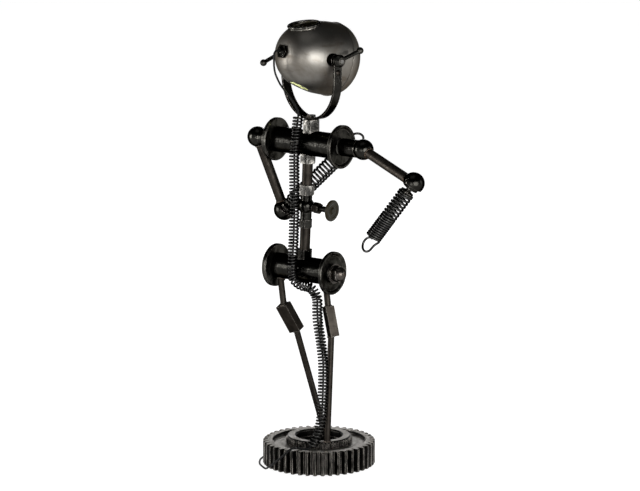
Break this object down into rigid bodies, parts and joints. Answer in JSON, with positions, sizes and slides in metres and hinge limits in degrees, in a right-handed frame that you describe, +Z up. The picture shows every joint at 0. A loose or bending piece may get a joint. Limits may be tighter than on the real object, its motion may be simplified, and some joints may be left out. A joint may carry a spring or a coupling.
{
  "type": "robot floor lamp",
  "caption": "Figure-shaped lamp of machine parts: a gear base with rod legs, a pipe spine with a tap knob, hinged arms with spring forearms and a tilting head in a yoke.",
  "frame": {"origin": "centre of the flat felt face under the gear base", "axes": "+Z up, X along the shoulder axle towards the arm that is held out, -Y towards the front of the figure"},
  "size_m": [0.4801, 0.3305, 0.9177],
  "materials": {
    "felt": "matte",
    "gear_iron": "oiled, worn at the edges",
    "black_iron": "oiled, glossy",
    "dark_steel": "oiled, darkened",
    "spring_steel": "blackened",
    "worn_steel": "worn bright",
    "bare_steel": "turned",
    "knob_paint": "satin",
    "head_steel": "spun, brown patina",
    "holder": "glazed",
    "bulb_glass": "frosted",
    "cord": "matte",
    "plug_plastic": "satin"
  },
  "bodies": {
    "stand": {"base_felt": "felt", "base_gear": "gear_iron", "hub_ring": "gear_iron", "left_thigh": "dark_steel", "left_knee": "dark_steel", "left_shin": "dark_steel", "right_thigh": "dark_steel", "right_knee": "dark_steel", "right_shin": "dark_steel", "hip_barrel": "black_iron", "hip_flange_left": "black_iron", "hip_flange_right": "black_iron", "hip_bearings": "bare_steel", "hip_axle": "bare_steel", "hip_cap_nuts": "dark_steel", "hip_collar": "black_iron", "lower_pipe": "dark_steel", "tap_body": "black_iron", "tap_gland_nut": "dark_steel", "tap_top_nut": "worn_steel", "upper_pipe": "dark_steel", "shoulder_nut": "black_iron", "shoulder_barrel": "black_iron", "shoulder_flange_left": "black_iron", "shoulder_flange_right": "black_iron", "shoulder_axle": "bare_steel", "shoulder_bushes": "bare_steel", "neck_nut": "worn_steel", "yoke_bolt": "dark_steel", "spine_spring": "spring_steel", "spine_cable": "cord", "mains_cord": "cord", "cord_coil": "cord", "coil_tie": "plug_plastic", "plug": "plug_plastic"},
    "yoke": {"yoke": "black_iron", "yoke_rivets": "dark_steel", "lead_lower": "cord"},
    "head": {"head_front": "head_steel", "head_rear": "head_steel", "head_collar": "head_steel", "lamp_holder": "holder", "bulb": "bulb_glass", "cable_gland": "black_iron", "pivot_rod": "bare_steel", "pivot_spacers": "black_iron", "lead_upper": "cord"},
    "left_lever": {"left_lever": "black_iron"},
    "right_lever": {"right_lever": "black_iron"},
    "knob": {"tap_knob": "knob_paint"},
    "left_arm": {"left_ball_stub": "black_iron", "left_arm_tube": "dark_steel", "left_elbow": "black_iron"},
    "left_forearm": {"left_elbow_stud": "bare_steel", "left_forearm_spring": "spring_steel"},
    "right_arm": {"right_ball_stub": "black_iron", "right_arm_tube": "dark_steel", "right_elbow": "black_iron"},
    "right_forearm": {"right_elbow_stud": "bare_steel", "right_forearm_spring": "spring_steel"}
  },
  "joints": [
    {"name": "yoke_swivel", "type": "hinge", "parent": "stand", "child": "yoke", "pos_m": [-0.0045, -0.02, 0.71775], "axis": [0, 0, 1], "range_deg": [-35, 50], "deforming": ["lead_lower"]},
    {"name": "head_tilt", "type": "hinge", "parent": "yoke", "child": "head", "pos_m": [-0.0045, -0.02, 0.84605], "axis": [0.9613, -0.2756, 0], "range_deg": [-30, 30], "deforming": ["lead_upper"]},
    {"name": "left_lever_turn", "type": "hinge", "parent": "yoke", "child": "left_lever", "pos_m": [-0.0045, -0.02, 0.84605], "axis": [0.9613, -0.2756, 0], "range_deg": [-45, 45]},
    {"name": "right_lever_turn", "type": "hinge", "parent": "yoke", "child": "right_lever", "pos_m": [-0.0045, -0.02, 0.84605], "axis": [0.9613, -0.2756, 0], "range_deg": [-45, 45]},
    {"name": "knob_turn", "type": "hinge", "parent": "stand", "child": "knob", "pos_m": [-0.01729, -0.02, 0.53887], "axis": [0.999, 0, -0.0436], "range_deg": [0, 270]},
    {"name": "left_shoulder", "type": "hinge", "parent": "stand", "child": "left_arm", "pos_m": [-0.14161, -0.02, 0.66875], "axis": [1, 0, 0], "range_deg": [-5, 25]},
    {"name": "left_elbow", "type": "hinge", "parent": "left_arm", "child": "left_forearm", "pos_m": [-0.09471, 0.00818, 0.5184], "axis": [-0.2234, 0.9747, 0], "range_deg": [-5, 20]},
    {"name": "right_shoulder", "type": "hinge", "parent": "stand", "child": "right_arm", "pos_m": [0.12538, -0.02, 0.66875], "axis": [1, 0, 0], "range_deg": [-30, 30]},
    {"name": "right_elbow", "type": "hinge", "parent": "right_arm", "child": "right_forearm", "pos_m": [0.27417, -0.05572, 0.62197], "axis": [0.1069, 0.9245, -0.3659], "range_deg": [-15, 15]}
  ]
}
